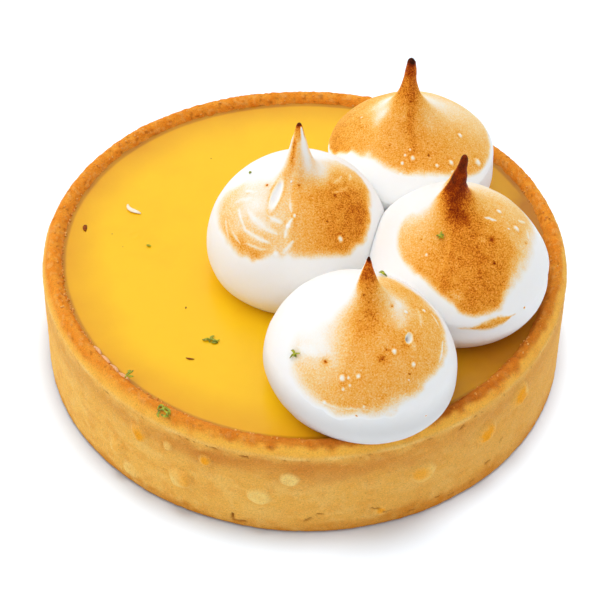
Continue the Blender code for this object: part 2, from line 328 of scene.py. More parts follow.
def make_case():
    """The turned cup, with relief along its normals.

    On the rim the relief is crumbs: the size of a noise, which leaves rounded grains between
    creases. On the wall it is finer, and adds the hole bumps, the cracks and a ragged foot.
    """
    angle = np.linspace(0, 2 * np.pi, AROUND_CASE, endpoint=False)
    azimuth = np.degrees(angle)
    profile = case_profile()
    base_radius, base_height = profile[:, :1], profile[:, 1:]
    rings = polar(base_radius + sway(angle, base_height), angle, base_height)
    height = rings[..., 2]
    inset = CASE_RADIUS - base_radius
    normals = ring_normals(rings)

    outside = 1 - soft_step(inset, 0.1 * MM, 0.6 * MM)
    rim = soft_step(base_height, CASE_EDGE_HEIGHT, RIM_HEIGHT)
    wall = outside * (1 - rim)
    inner_lip = (1 - outside) * soft_step(base_height, 15 * MM, 17 * MM)
    shown = np.clip(rim + inner_lip, 0, 1)

    squat = rings * (1, 1, 1.4)  # grains lie a little flatter than they are wide
    noise = noises(
        middle=(rings, 0.9, 12), fine=(rings, 0.5, 13), swell=(rings, 6.0, 14), pits=(rings, 0.6, 16),
        grains=(squat, 0.8, 15), mottle=(squat, 1.5, 11), patches=(squat, 3.6, 17),
        foot=(rings, 3.0, 19), edge=(rings, 2.4, 20), ragged=(rings, 1.3, 21), jagged=(rings, 0.9, 22),
    )
    pits = soft_step(noise.pits, 0.48, 0.70)
    inward = soft_step(inset / MM + 0.4 * noise.swell + 0.35 * noise.mottle, 0.2, 1.3)
    level = height + (0.9 * noise.foot + 0.4 * noise.grains) * MM
    foot = foot_share(azimuth, level)

    # relief in mm: a smooth outer shoulder, a crumbly inner one, a sandy wall, a ragged foot
    crumbly = (0.02 + 0.10 * inward) * (noise.middle + 0.9 * noise.fine) - 0.10 * pits * inward
    relief = shown * (0.05 * noise.swell + crumbly)
    relief += wall * (0.05 * noise.swell + 0.035 * noise.grains + 0.03 * noise.fine)
    relief -= 0.12 * rim * (1 - inward)
    relief += wall * foot * 0.05 * noise.middle

    tint = wall_colours(azimuth, height, level, foot, noise)
    rim_tint = rim_colours(azimuth, inset, inward, pits, noise)
    tint = tint * (1 - shown[..., None]) + rim_tint * shown[..., None]

    # the trimmed edge: a thin pale ridge that comes and goes, with pinholes under it
    wander = 0.20 * MM * noise.swell
    ridge = bell(height, RIDGE_HEIGHT + wander, 0.30 * MM) * outside
    ridge *= 0.25 + 0.75 * soft_step(noise.edge, -0.3, 0.6)
    under = bell(height, RIDGE_HEIGHT - 0.45 * MM + wander, 0.20 * MM)
    pinhole = under * outside * soft_step(noise.fine, 0.46, 0.66)
    relief += 0.08 * ridge - 0.15 * pinhole
    tint = lay_on(tint, EDGE_TINT, 0.95 * ridge)
    # painted shade in the pinholes
    tint = lay_on(tint, CREVICE_SHADE, 0.7 * pinhole)

    ragged = 0.12 * noise.ragged + 0.05 * noise.fine
    for place, level, size, out, brown_and_shade, patch_aside in all_bumps():
        along, up = from_wall_place(azimuth, height, place, level)
        away = np.hypot(along, up) / size + ragged
        bump = wall * (1 - soft_step(away, 0.68, 1.08))
        relief += out * bump * (1 + 0.25 * noise.middle)
        patch_away = np.hypot(along / size - patch_aside, up / size - 0.1) + 2 * ragged
        tint = lay_on(tint, BUMP_TINT, (0.95 - 0.25 * brown_and_shade) * bump * (0.85 + 0.3 * noise.fine))
        # the patch to one side: partly browning, partly painted shade
        tint = lay_on(tint, BUMP_BROWN_AND_SHADE, brown_and_shade * bump * (1 - soft_step(patch_away, 0.30, 1.20)))

    for place, level, length, slope, width, depth in CRACKS:
        along, up = from_wall_place(azimuth, height, place, level)
        c, s = math.cos(math.radians(slope)), math.sin(math.radians(slope))
        run = (c * along + s * up) / (0.5 * length)
        across = (c * up - s * along + 0.3 * noise.jagged) / width
        held = outside * (1 - soft_step(np.abs(run), 0.6, 1.0))
        crack = held * bell(across, 0, 1)
        lip = held * bell(across, 2.2, math.sqrt(2))
        relief += depth * (0.5 * lip - crack)
        # painted shade in the crack
        tint = lay_on(tint, CREVICE_SHADE, crack)

    hidden = 1 - np.clip(outside + shown, 0, 1)
    rings = rings + normals * (relief * (1 - hidden))[..., None] * MM
    rings[..., 2] = np.maximum(rings[..., 2], 0)
    case = surface("crust_baked", *ring_mesh(rings, (0, 0, FLOOR_THICKNESS), (0, 0, 0)))
    keep_colour(case, "tint", np.vstack([tint.reshape(-1, 3), tint[0, :1], tint[-1, :1]]))
    return case


def node(tree, kind, **settings):
    """A shader node, with its settings, and inputs given by name or number in inputs={...}."""
    new = tree.nodes.new(kind)
    for key, value in settings.pop("inputs", {}).items():
        if isinstance(value, bpy.types.NodeSocket):
            tree.links.new(value, new.inputs[key])
        else:
            new.inputs[key].default_value = value
    for key, value in settings.items():
        setattr(new, key, value)
    return new


def ramp(tree, value, stops):
    """A colour ramp through stops of (place, colour or grey)."""
    new = node(tree, "ShaderNodeValToRGB", inputs={"Fac": value})
    elements = new.color_ramp.elements
    while len(elements) < len(stops):
        elements.new(1)
    for element, (place, colour) in zip(elements, stops):
        element.position = place
        element.color = (*colour, 1) if isinstance(colour, tuple) else (colour, colour, colour, 1)
    return new.outputs["Color"]


def speckle(tree, size, detail=2.0, rough=0.5):
    """A noise in Object coordinates whose grains are about size across."""
    place = node(tree, "ShaderNodeTexCoord").outputs["Object"]
    return node(
        tree, "ShaderNodeTexNoise",
        inputs={"Vector": place, "Scale": 1 / size, "Detail": detail, "Roughness": rough},
    ).outputs["Fac"]


def new_finish(name, **sockets):
    """A material with a Principled shader, whose fixed values are given by socket name."""
    material = bpy.data.materials.new(name)
    material.use_nodes = True
    shader = material.node_tree.nodes["Principled BSDF"]
    for key, value in sockets.items():
        shader.inputs[key.replace("_", " ")].default_value = value
    return material, material.node_tree, shader


def maths(tree, operation, *values):
    """The result of a maths node whose inputs, in order, are values."""
    return node(tree, "ShaderNodeMath", operation=operation, inputs=dict(enumerate(values))).outputs[0]


def stored(tree, name, output="Fac"):
    """What the mesh holds as the attribute name: a number, or a colour from the output Color."""
    return node(tree, "ShaderNodeAttribute", attribute_name=name).outputs[output]


def bumpy(tree, shader, height, distance):
    """Adds fine relief to a shader's normal."""
    made = node(tree, "ShaderNodeBump", inputs={"Height": height, "Distance": distance})
    tree.links.new(made.outputs["Normal"], shader.inputs["Normal"])


def baked_pastry():
    """Shortcrust: the stored tint, broken by grains of sugar and flour, dry and rough."""
    finish, tree, shader = new_finish("baked_shortcrust", Specular_IOR_Level=0.12)
    tint = stored(tree, "tint", "Color")
    grain = speckle(tree, 0.24 * MM, 4.0, 0.75)
    shade = ramp(tree, grain, ((0.28, 0.62), (0.44, 0.93), (0.58, 1.04), (0.74, 1.36)))
    mixed = node(
        tree, "ShaderNodeMix", data_type="RGBA", blend_type="MULTIPLY", clamp_result=True,
        inputs={0: 1.0, 6: tint, 7: shade},
    ).outputs[2]
    tree.links.new(mixed, shader.inputs["Base Color"])
    rough = ramp(tree, speckle(tree, 0.9 * MM), ((0.3, 0.62), (0.7, 0.88)))
    tree.links.new(rough, shader.inputs["Roughness"])
    bumpy(tree, shader, grain, 0.09 * MM)
    return finish


pastry = baked_pastry()
case = make_case()
case.data.materials.append(pastry)
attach(case, "root")
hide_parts("crust")

# ---------------------------------------------------------------------------------------------
# Lemon curd: egg, sugar, butter and lemon juice, poured warm into the baked case, where it set
# level with a soft gloss. At its edge it climbs a little way up the pastry.

CURD_HEIGHT = 18.1 * MM
CURD_EDGE = INNER_RADIUS + 0.45 * MM  # it soaks a little way into the crumb
CURD_BASE = FLOOR_THICKNESS + 0.3 * MM
CURD_RINGS = 150
AROUND_CURD = 420
CLING = 0.30 * MM  # how high the curd climbs against the pastry
CLING_WIDTH = 0.8 * MM
BUBBLE_PLACE = (-28.2 * MM, 3.9 * MM)
BUBBLE_RADIUS = 0.75 * MM
CURD_TINT = (0.95, 0.56, 0.003)
# painted shade on the curd, and the darker painted shade of the kisses' shadow and the corner at its edge
CURD_SHADE = (0.79, 0.39, 0.004)
CURD_DARK_SHADE = (0.50, 0.19, 0.003)
# painted shade where the kisses shadow the curd between them and the rim: x, y, radius
SHADED_PLACES = ((30 * MM, -12 * MM, 22 * MM), (40 * MM, 9 * MM, 10 * MM))


def make_curd():
    """A disc of rings whose height is level, plus a climb at the edge, faint swells and a bubble, with
    painted shade stored as deep.
    """
    angle = np.linspace(0, 2 * np.pi, AROUND_CURD, endpoint=False)
    share = 1 - (1 - np.linspace(0, 1, CURD_RINGS + 1)[1:]) ** 1.15
    top_radius = share * CURD_EDGE
    radius = top_radius[:, None] + sway(angle, CURD_HEIGHT) * share[:, None]
    flat = polar(radius, angle, 0.0)
    x, y = flat[..., 0], flat[..., 1]
    climb = CLING * np.exp(-(CURD_EDGE - top_radius[:, None]) / CLING_WIDTH)
    swell = 0.035 * lattice_noise(flat, 9 * MM, 31) + 0.010 * lattice_noise(flat, 2.5 * MM, 32)
    away = np.hypot(x - BUBBLE_PLACE[0], y - BUBBLE_PLACE[1]) / BUBBLE_RADIUS
    bubble = 0.07 * bell(away, 1, 0.35) - 0.05 * bell(away, 0, 0.5)
    top = polar(radius, angle, CURD_HEIGHT + climb + (swell + bubble) * MM)
    side = [
        polar(radius[-1] - inset, angle, level)
        for inset, level in (
            (0.7 * MM, CURD_HEIGHT - 1.0 * MM), (0.9 * MM, CURD_BASE + INNER_CORNER),
            (INNER_CORNER + 0.9 * MM, CURD_BASE), (0.5 * INNER_RADIUS, CURD_BASE),
        )
    ]
    rings = np.concatenate([top, np.stack(side)])
    curd = surface("curd_set", *ring_mesh(rings, (0, 0, CURD_HEIGHT), (0, 0, CURD_BASE)))
    # painted shade: deeper over the last 9 mm towards the rim, deepest where the kisses shadow the curd
    # and in a thin line in the corner against the pastry
    deep = 0.6 * soft_step(top_radius, CURD_EDGE - 9 * MM, CURD_EDGE)[:, None] * np.ones_like(angle)
    for shaded_x, shaded_y, wide in SHADED_PLACES:
        shaded = bell(np.hypot(x - shaded_x, y - shaded_y), 0, wide)
        deep = np.maximum(deep, 0.95 * shaded + 0.5 * deep)
    corner_shade = 0.92 * soft_step(top_radius, CURD_EDGE - 1.6 * MM, CURD_EDGE - 0.7 * MM)[:, None]
    deep = np.maximum(deep, corner_shade)
    keep_value(curd, "deep", np.concatenate([deep, np.ones((len(side), AROUND_CURD))]))
    return curd


def set_curd():
    """Curd: yellow, with painted shade deeper towards the edge and between the kisses, faint streaks,
    satin and a little translucent.
    """
    finish, tree, shader = new_finish(
        "set_lemon_curd", Specular_IOR_Level=0.4, Subsurface_Weight=0.25,
        Subsurface_Radius=(1.0, 0.6, 0.2), Subsurface_Scale=1.0 * MM,
    )
    deep = stored(tree, "deep")
    mottle = maths(tree, "MULTIPLY_ADD", speckle(tree, 7 * MM, 3.0), 0.4, -0.2)
    mixed = maths(tree, "ADD", deep, mottle)
    colour = ramp(tree, mixed, ((0.0, CURD_TINT), (0.6, CURD_SHADE), (1.0, CURD_DARK_SHADE)))
    tree.links.new(colour, shader.inputs["Base Color"])
    rough = ramp(tree, speckle(tree, 1.6 * MM), ((0.3, 0.17), (0.7, 0.26)))
    tree.links.new(rough, shader.inputs["Roughness"])
    bumpy(tree, shader, speckle(tree, 1.1 * MM), 0.02 * MM)
    return finish


curd = make_curd()
curd.data.materials.append(set_curd())
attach(curd, "root")
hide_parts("curd")

# ---------------------------------------------------------------------------------------------
# Meringue kisses: cooked egg white and sugar, piped from a plain round nozzle pressed down and
# pulled up, so that each is a dome with a pulled peak. They stand on the curd, pressed together,
# and were browned with a gas torch, mostly from the front and from above.

BELLY_DROP = 9.0 * MM  # depth below the belly at which the curve under it would close
PEAK_FLARE = 3.0 * MM  # how softly a dome runs into its peak
PRESS_SOFTNESS = 0.14 * MM  # how rounded a kiss is where another presses on it
REST_SOFTNESS = 0.10 * MM  # and where it rests on the curd or the rim
RIM_BRIDGE = 1.2 * MM  # how far inside the rim its height still holds a kiss up
KISS_BITE = 0.36 * MM  # how far two kisses grow into one another where they touch
CAP_DEPTH = 0.45  # depth in mm over which a peak's cap rounds off
PEAK_REACH = 60  # depth in mm to which a peak's curve is worked out
PEAK_STEPS = 3000
KISS_BASE = CURD_HEIGHT + 0.3 * MM  # the level that the heights of a kiss are measured from
SINK = 0.12 * MM  # how far a foot settles into what it stands on
AROUND_KISS = 360
FIRST_AZIMUTH = -270  # where a kiss's grid starts, at its back
DOME_ROWS = 200
SKIRT_ROWS = 44
SOLE_ROWS = 12
DOME_CROWDING = 1.35
SKIRT_SPAN = 0.35  # rows over which the skirt hangs, below row 1
SOLE_ROW = 1.4  # the row that all of the sole counts as
STROKE_BITS = 7  # straight bits that a streak is cut into

# Each kiss: its form in mm, near that of the imported model, then how the torch left it. A place on a
# kiss is an azimuth and a row, from 0 at the tip to 1 at the belly and 1.35 at the foot.
#   lean: how far the tip stands aside of the centre, in x and y
#   stretch, turn: how oval the kiss is in plan, and the azimuth of its longer axis if stretch is over 1
#   power: of the dome's curve, where 2 makes an ellipse and less makes straighter flanks
#   peak_form: the cap's radius, then the share and power with which the peak widens
#   bend: how far the peak's foot stands aside of the line to the tip, in x and y
#   collar: the depth under the tip, and the height, of a ring where the paste tore as it was pulled
#   reach: azimuths and the rows down to which the flame coloured it there
#   tone: azimuths and how brown the coloured part is there
#   fade: azimuths and over how many rows the colour fades out there
#   peak: depths under the tip in mm and how brown the peak is there
#   foot_shade: how much painted shade greys the paste near its foot, from 0 to 1
#   patches: where it is browner, or paler by a share if the last number is negative, with half
#            widths in azimuth and row
#   seam: azimuth of the crease that the pull left, its first and last row, and its height
#   strokes: raised streaks: azimuth and row of one end and of the other, width in mm, and how much
#            whiter they are, or browner if negative, which is partly painted shade beside white streaks
#   folds: azimuth and row of a shallow fold near the foot, where the nozzle was pressed a second time
#   bubbles, pits: place and size in mm
#   holes: place, width and height in mm, slant, depth in mm and how much painted shade greys them inside
KISSES = {
    "kiss_back": dict(
        centre=(17.35, 17.0), belly=14.05, belly_height=4.6, dome_height=14.3, tip_height=26.6,
        lean=(-1.15, 0.5), stretch=1.03, turn=74, power=1.85, peak_form=(0.74, 0.0085, 2.50),
        bend=(-0.35, 0.0), collar=(2.4, 0.12),
        reach=((-240, 1.04), (-200, 1.04), (-182, 1.0), (-170, 0.86), (-155, 0.68), (-134, 0.61),
               (-114, 0.62), (-95, 0.64), (-74, 0.65), (-58, 0.70), (-34, 0.84), (-14, 0.88), (8, 0.88),
               (40, 0.95), (90, 0.95)),
        tone=((-240, 0.50), (-180, 0.52), (-140, 0.46), (-95, 0.48), (-60, 0.49), (-20, 0.44),
              (30, 0.28)),
        fade=((-90, 0.07),), foot_shade=0.0, peak=((0, 0.97), (0.7, 0.90), (1.3, 0.76), (4, 0.64), (9, 0.55)),
        patches=((-215, 0.32, 34, 0.16, -0.75), (-172, 0.31, 18, 0.09, -0.65),
                 (50, 0.34, 45, 0.18, -0.5), (-40, 0.30, 20, 0.10, -0.25), (-90, 0.24, 7, 0.16, 0.10),
                 (-165, 0.80, 30, 0.10, 0.08)),
        seam=(-90, 0.05, 0.62, 0.10),
        strokes=((-110, 0.645, -85, 0.665, 0.5, 0.5), (-55, 0.69, -47, 0.70, 0.4, 0.6)),
        bubbles=((-17, 0.52, 0.85), (-26, 0.76, 1.3), (-65, 0.59, 0.65), (-50, 0.61, 0.9),
                 (-89, 0.51, 0.85), (-92, 0.45, 0.45), (-98, 0.49, 0.5), (-100, 0.55, 0.65),
                 (-100, 0.63, 0.5), (-192, 0.52, 0.5)),
        pits=((-120, 0.45, 0.22), (-70, 0.50, 0.2)),
    ),
    "kiss_left": dict(
        centre=(-1.3, -1.7), belly=14.4, belly_height=4.5, dome_height=18.3, tip_height=27.6,
        lean=(-0.1, 1.3), stretch=1.025, turn=40, power=2.05, peak_form=(0.36, 0.145, 1.25),
        bend=(0.0, 0.0), collar=(3.4, 0.05),
        reach=((-205, 0.50), (-190, 0.76), (-168, 0.77), (-146, 0.79), (-120, 0.80), (-102, 0.74),
               (-86, 0.73), (-67, 0.76), (-50, 0.80), (-37, 0.77), (-20, 0.71), (6, 0.67), (22, 0.59),
               (36, 0.49), (55, 0.34), (80, 0.1), (90, 0.1)),
        tone=((-200, 0.0), (-182, 0.10), (-160, 0.33), (-120, 0.33), (-96, 0.29), (-86, 0.41),
              (-60, 0.54), (-25, 0.60), (5, 0.48), (30, 0.25), (55, 0.0)),
        fade=((-180, 0.09), (-120, 0.05)), foot_shade=0.0,
        peak=((0, 1.0), (0.4, 0.95), (0.9, 0.60), (3.0, 0.32)),
        patches=((-45, 0.08, 45, 0.15, -1.0), (0, 0.24, 50, 0.09, -0.7), (-180, 0.27, 38, 0.20, -0.9),
                 (-140, 0.50, 26, 0.13, -0.6), (-128, 0.09, 20, 0.09, 0.36),
                 (-30, 0.62, 25, 0.10, 0.06), (-132, 0.75, 32, 0.04, 0.16),
                 (-174, 0.62, 10, 0.12, 0.08), (-137, 0.29, 6, 0.06, 0.22), (-96, 0.30, 5, 0.16, 0.14)),
        seam=(-91, 0.04, 0.72, 0.10),
        strokes=((-156, 0.68, -132, 0.74, 0.5, 0.7), (-144, 0.55, -104, 0.61, 0.9, 0.65),
                 (-140, 0.65, -106, 0.67, 0.6, 0.7), (-99, 0.63, -93, 0.49, 0.6, 0.9),
                 (-91, 0.63, -98, 0.72, 0.5, 0.8), (-156, 0.58, -134, 0.65, 0.45, 0.8),
                 (-130, 0.72, -106, 0.71, 0.4, 0.6), (-164, 0.60, -150, 0.46, 0.6, 0.6),
                 (-101, 0.34, -96, 0.46, 0.5, 0.6), (-122, 0.51, -100, 0.54, 0.6, 0.7),
                 (-170, 0.52, -152, 0.42, 0.5, 0.6), (-162, 0.68, -144, 0.76, 0.4, 0.7),
                 (-20, 0.36, 5, 0.42, 0.5, 0.4), (-35, 0.40, -8, 0.47, 0.5, 0.35),
                 (0, 0.48, 15, 0.50, 0.4, 0.4), (-160, 0.65, -138, 0.71, 0.5, -0.36),
                 (-146, 0.61, -108, 0.63, 0.5, -0.32), (-134, 0.69, -106, 0.68, 0.5, -0.38),
                 (-168, 0.56, -156, 0.45, 0.4, -0.30), (-104, 0.60, -100, 0.50, 0.4, -0.30)),
        bubbles=((-54, 0.68, 1.0), (-104, 0.72, 0.9), (-108, 0.24, 0.4), (-92, 0.48, 0.55),
                 (-98, 0.55, 0.6)),
        pits=((-153, 0.35, 0.45), (-34, 0.43, 0.3), (-87, 0.26, 0.3), (-60, 0.55, 0.2)),
        holes=((-125, 0.36, 1.15, 4.0, -0.245, 0.5, 0.0),),
    ),
    "kiss_right": dict(
        centre=(23.7, -7.7), belly=14.7, belly_height=4.6, dome_height=17.7, tip_height=27.3,
        lean=(-0.3, 0.9), stretch=0.985, turn=0, power=1.72, peak_form=(0.60, 0.031, 2.0),
        bend=(-1.1, 0.0), collar=(3.6, 0.10),
        reach=((-195, 0.50), (-174, 0.56), (-152, 0.64), (-136, 0.67), (-117, 0.69), (-106, 0.74),
               (-96, 0.79), (-92, 0.84), (-84, 0.88), (-74, 0.88), (-63, 0.86), (-56, 0.81),
               (-45, 0.74), (-30, 0.68), (-10, 0.68), (15, 0.74), (40, 0.78), (70, 0.66), (110, 0.30)),
        tone=((-182, 0.0), (-174, 0.22), (-160, 0.34), (-140, 0.41), (-115, 0.51), (-70, 0.58),
              (-40, 0.56), (-10, 0.45), (15, 0.40), (45, 0.28), (75, 0.15), (100, 0.0)),
        fade=((-180, 0.05), (-90, 0.05), (-60, 0.09), (-35, 0.22), (0, 0.14)), foot_shade=0.1,
        peak=((0, 0.99), (0.4, 0.94), (1.2, 0.90), (3.5, 0.875), (5.5, 0.84), (8.5, 0.76)),
        patches=((-184, 0.26, 26, 0.15, -1.0), (-92, 0.20, 30, 0.11, 0.26), (-10, 0.50, 30, 0.2, -0.15),
                 (-96, 0.72, 8, 0.06, 0.10), (-80, 0.50, 14, 0.2, 0.04)),
        seam=(-103, 0.3, 0.75, 0.10), folds=((-62, 1.045),),
        strokes=((-31, 0.32, -21, 0.39, 0.45, 0.9), (2, 0.53, 8, 0.60, 0.55, 0.8),
                 (-10, 0.62, 0, 0.60, 0.4, 0.6), (-68, 0.40, -58, 0.42, 0.6, 0.3),
                 (-84, 1.016, -58, 1.002, 1.35, -0.68), (-92, 1.022, -54, 0.995, 0.8, -0.28),
                 (-97, 0.735, -91, 0.730, 1.5, 0.45)),
        bubbles=((-1, 0.39, 0.85), (-11, 0.52, 1.1), (-126, 0.54, 0.5), (-20, 0.47, 0.4)),
        pits=((-50, 0.44, 0.6), (-60, 0.57, 0.3), (-47, 0.975, 0.32), (-16, 0.62, 0.25),
              (-140, 0.48, 0.2)),
    ),
    "kiss_front": dict(
        centre=(8.4, -28.1), belly=14.35, belly_height=4.6, dome_height=17.8, tip_height=26.0,
        lean=(0.5, 0.3), stretch=1.05, turn=138, power=1.95, peak_form=(0.26, 0.205, 1.19),
        bend=(0.0, 0.0), collar=(9, 0.0),
        reach=((-260, 0.12), (-178, 0.40), (-164, 0.70), (-151, 0.76), (-142, 0.83), (-128, 0.88),
               (-110, 0.90), (-94, 0.90), (-80, 0.86), (-66, 0.81), (-48, 0.78), (-28, 0.77),
               (-9, 0.77), (4, 0.73), (18, 0.62), (43, 0.53), (68, 0.50), (90, 0.15)),
        tone=((-178, 0.0), (-164, 0.10), (-150, 0.18), (-138, 0.27), (-112, 0.40), (-90, 0.44),
              (-50, 0.43), (-10, 0.43), (30, 0.46), (60, 0.35), (80, 0.0)),
        fade=((-170, 0.16), (-140, 0.12), (-100, 0.07), (-10, 0.09)), foot_shade=1.0,
        peak=((0, 1.0), (0.5, 0.98), (1.0, 0.77), (3, 0.68), (6, 0.58)),
        patches=((-168, 0.38, 30, 0.24, -1.0), (-135, 0.56, 22, 0.10, -0.55),
                 (-85, 0.24, 28, 0.16, 0.15), (-20, 0.32, 30, 0.09, -0.35), (-45, 0.50, 12, 0.07, 0.10)),
        seam=(-106, 0.3, 0.8, 0.08),
        strokes=((34, 0.18, -10, 0.34, 2.6, 0.38), (2, 0.30, -46, 0.41, 2.0, 0.45),
                 (-38, 0.42, -44, 0.58, 0.8, 0.4), (-20, 0.52, 5, 0.45, 0.6, 0.4),
                 (-150, 0.66, -132, 0.60, 1.2, 0.5), (-120, 0.86, -88, 0.84, 0.4, 0.5),
                 (-30, 0.73, -10, 0.70, 0.35, 0.7), (-2, 0.66, 8, 0.58, 0.35, 0.7)),
        bubbles=((-108, 0.68, 0.95), (-104, 0.67, 0.5), (-97, 0.65, 0.7), (-102, 0.71, 0.5),
                 (-64, 0.52, 0.8), (-52, 0.63, 0.75), (-116, 0.85, 0.6), (-92, 0.82, 0.5),
                 (-106, 0.74, 0.55), (-14, 0.38, 0.6), (5, 0.52, 0.7), (-127, 0.87, 0.4),
                 (-60, 0.70, 0.35)),
        pits=((-124, 0.63, 0.8), (-77, 0.55, 0.7), (-106, 0.17, 0.25), (-22, 0.28, 0.3),
              (-71, 0.50, 0.3), (-96, 0.88, 0.22), (-52, 0.96, 0.2), (-58, 0.67, 0.25)),
        holes=((-42, 0.49, 0.85, 1.35, 1.05, 1.0, 1.0),),
    ),
}


def soft_limit(value, limit, softness):
    """value, held below limit, with the corner rounded over the length softness."""
    return limit - softness * np.logaddexp(0, (limit - value) / softness)


def rest_height(x, y):
    """Height of what lies under a point in plan: the curd, or the rim, whose inner corner is bridged."""
    section = rim_section(8)[::-1]
    radius = np.hypot(x, y) - sway(np.arctan2(y, x), CASE_EDGE_HEIGHT)
    rim = np.interp(radius, section[:, 0], section[:, 1])
    bridge = np.interp(radius + RIM_BRIDGE, section[:, 0], section[:, 1])
    return np.maximum(CURD_HEIGHT, np.maximum(rim, bridge))


def dome_height_at(kiss, radius):
    """Height above the base at a radius: the larger of a dome and a peak, blended.

    The dome is an ellipse whose power may differ from 2. At a depth under its tip the peak's radius
    is a blunt cap's, plus a share of a power of the depth.
    """
    belly, waist = kiss["belly"] * MM, kiss["belly_height"] * MM
    rise = kiss["dome_height"] * MM - waist
    share = np.clip(radius / belly, 0, 1)
    dome = waist + rise * (1 - share ** kiss["power"]) ** (1 / kiss["power"])
    cap, widening, growth = kiss["peak_form"]
    depth = np.linspace(0, PEAK_REACH, PEAK_STEPS)
    peak_radius = cap * np.sqrt(1 - np.exp(-depth / CAP_DEPTH)) + widening * depth**growth
    cone = kiss["tip_height"] * MM - np.interp(radius / MM, peak_radius, depth) * MM
    flare = PEAK_FLARE * np.clip(radius / PEAK_FLARE, 0, 1)
    return 0.5 * (dome + cone + np.sqrt((dome - cone) ** 2 + flare**2))


def kiss_section(kiss, row):
    """Radius and height of a kiss at a row.

    Down to row 1 the radius grows as the sine of a power of the row, under the dome. Below, the skirt
    hangs straight down to the waist and then curves in as an ellipse.
    """
    belly, waist = kiss["belly"] * MM, kiss["belly_height"] * MM
    dome_radius = belly * np.sin(0.5 * np.pi * np.clip(row, 0, 1) ** DOME_CROWDING)
    top = dome_height_at(kiss, belly)
    fall = top + KISS_BASE - CURD_HEIGHT + SINK
    down = fall * np.sin(0.5 * np.pi * np.clip((row - 1) / SKIRT_SPAN, 0, 1))
    under = np.maximum(down - (top - waist), 0)
    return dome_radius * np.sqrt(1 - (under / BELLY_DROP) ** 2), dome_height_at(kiss, dome_radius) - down


def press_apart(name, x, y):
    """Holds a kiss on its own side of the upright plane between it and each neighbour."""
    own = KISSES[name]
    for other_name, other in KISSES.items():
        step = (np.array(other["centre"]) - own["centre"]) * MM
        distance = np.hypot(*step)
        reach, other_reach = own["belly"] * MM, other["belly"] * MM
        if other_name == name or distance > reach + other_reach:
            continue
        step /= distance
        limit = (distance**2 + reach**2 - other_reach**2) / (2 * distance)
        along = (x - own["centre"][0] * MM) * step[0] + (y - own["centre"][1] * MM) * step[1]
        back = along - soft_limit(along, limit + KISS_BITE / 2, PRESS_SOFTNESS)
        x, y = x - back * step[0], y - back * step[1]
    return x, y


def on_kiss(name, azimuth, radius, height):
    """Points of a kiss from azimuths, radii and heights: stretched, turned, leaned and pressed."""
    kiss = KISSES[name]
    turn = math.radians(kiss["turn"])
    angle = np.radians(azimuth) - turn
    along = radius * kiss["stretch"] * np.cos(angle)
    across = radius / kiss["stretch"] * np.sin(angle)
    waist, tip = kiss["belly_height"] * MM, kiss["tip_height"] * MM
    lift = np.maximum((height - waist) / (tip - waist), 0)
    aside = soft_step(tip - height, 0, 7.5 * MM) * (1 - soft_step(radius, 2.5 * MM, 8 * MM))
    c, s = math.cos(turn), math.sin(turn)
    shift_x, shift_y = (
        (centre + lean * lift + bend * aside) * MM
        for centre, lean, bend in zip(kiss["centre"], kiss["lean"], kiss["bend"])
    )
    x, y = press_apart(name, c * along - s * across + shift_x, s * along + c * across + shift_y)
    z = -soft_limit(-(KISS_BASE + height), -(rest_height(x, y) - SINK), REST_SOFTNESS)
    return np.stack(np.broadcast_arrays(x, y, z), axis=-1)


def kiss_place(name, azimuth, row):
    """The point of a kiss at an azimuth and a row."""
    return on_kiss(name, azimuth, *kiss_section(KISSES[name], row))


def kiss_frame(name, azimuth, row):
    """A place on a kiss and its directions along the azimuth, down the slope and outward."""
    here = kiss_place(name, azimuth, row)
    on = kiss_place(name, azimuth + 0.5, row) - here
    down = kiss_place(name, azimuth, row + 0.004) - here
    on, down = on / np.linalg.norm(on), down / np.linalg.norm(down)
    return here, on, down, np.cross(down, on)


def oval_distance(name, points, azimuth, row, half_across, half_down, slant=0.0):
    """Distance of points from a place on a kiss, measured in half widths across and down it."""
    here, on, down, out = kiss_frame(name, azimuth, row)
    away = points - here
    c, s = math.cos(slant), math.sin(slant)
    u, v, w = away @ on, away @ down, away @ out
    across, along = (c * u + s * v) / half_across, (c * v - s * u) / half_down
    return np.sqrt(across**2 + along**2 + (w / (2 * half_down)) ** 2)


def stroke_distance(name, points, start, end):
    """Distance of points from the line over a kiss between two places, growing towards its ends.

    The line is cut into short straight bits, and the least of the distances to them is kept.
    """
    azimuth, row = np.linspace(start, end, STROKE_BITS + 1).T
    line = kiss_place(name, azimuth, row)
    least = np.full(points.shape[:-1], np.inf)
    for number, (a, b) in enumerate(zip(line, line[1:])):
        share = np.clip((points - a) @ (b - a) / ((b - a) @ (b - a)), 0, 1)
        away = np.linalg.norm(points - a - share[..., None] * (b - a), axis=-1)
        thick = 0.10 + 1.1 * np.sin(np.pi * (number + share) / STROKE_BITS) ** 0.8
        least = np.minimum(least, away / thick)
    return least


